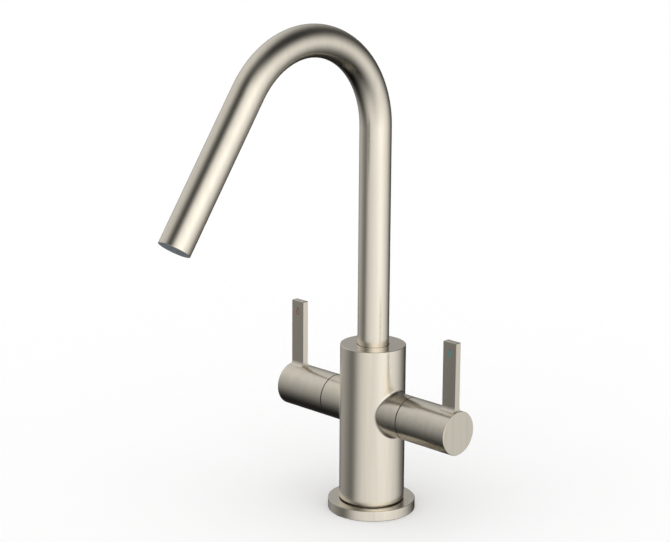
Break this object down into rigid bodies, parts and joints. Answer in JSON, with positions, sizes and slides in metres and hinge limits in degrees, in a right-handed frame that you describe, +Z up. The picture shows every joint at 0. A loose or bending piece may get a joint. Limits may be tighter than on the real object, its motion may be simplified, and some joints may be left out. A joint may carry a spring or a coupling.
{
  "type": "gooseneck bar tap",
  "caption": "Two-lever gooseneck bar tap: round base, upright barrel, level side arms with quarter-turn levers, and a tall swivel spout.",
  "frame": {"origin": "centre of the base's underside, on the deck", "axes": "+Z up along the barrel; -Y toward the user, the way the spout points at rest; +X toward the cold arm; the levers' axis runs along X"},
  "size_m": [0.175, 0.2399, 0.3795],
  "materials": {
    "nickel": "satin brushed nickel",
    "brass": "machined",
    "steel": "plain stainless steel",
    "ceramic": "lapped alumina ceramic",
    "rubber": "moulded EPDM",
    "plastic": "moulded acetal",
    "grey_plastic": "moulded acetal, grey"
  },
  "bodies": {
    "base": {"barrel": "nickel", "base_flange": "nickel", "base_gasket": "rubber", "base_locking_screw": "steel", "spout_retaining_screw": "steel", "spout_thrust_washer": "plastic", "hot_valve_housing": "brass", "hot_seat_seal": "rubber", "hot_fixed_disc": "ceramic", "hot_housing_seal": "rubber", "hot_guide_ring": "plastic", "cold_valve_housing": "brass", "cold_seat_seal": "rubber", "cold_fixed_disc": "ceramic", "cold_housing_seal": "rubber", "cold_guide_ring": "plastic"},
    "spout": {"spout_tube": "nickel", "spout_spigot": "brass", "spout_seal_rings": "rubber", "spout_slip_rings": "plastic", "aerator_bush": "nickel", "aerator_washer": "rubber", "aerator_housing": "grey_plastic", "aerator_grid": "grey_plastic", "aerator_screen": "steel"},
    "hot_handle": {"hot_lever": "nickel", "hot_spindle": "brass", "hot_moving_disc": "ceramic", "hot_stem_seals": "rubber", "hot_retaining_clip": "steel", "hot_lever_screw": "steel"},
    "cold_handle": {"cold_lever": "nickel", "cold_spindle": "brass", "cold_moving_disc": "ceramic", "cold_stem_seals": "rubber", "cold_retaining_clip": "steel", "cold_lever_screw": "steel"}
  },
  "joints": [
    {"name": "spout_swivel", "type": "hinge", "parent": "base", "child": "spout", "pos_m": [0, 0, 0.1], "axis": [0, 0, 1], "continuous": true},
    {"name": "hot_lever_turn", "type": "hinge", "parent": "base", "child": "hot_handle", "pos_m": [-0.06, 0, 0.0805], "axis": [1, 0, 0], "range_deg": [0, 90]},
    {"name": "cold_lever_turn", "type": "hinge", "parent": "base", "child": "cold_handle", "pos_m": [0.06, 0, 0.0805], "axis": [1, 0, 0], "range_deg": [0, 90]}
  ]
}
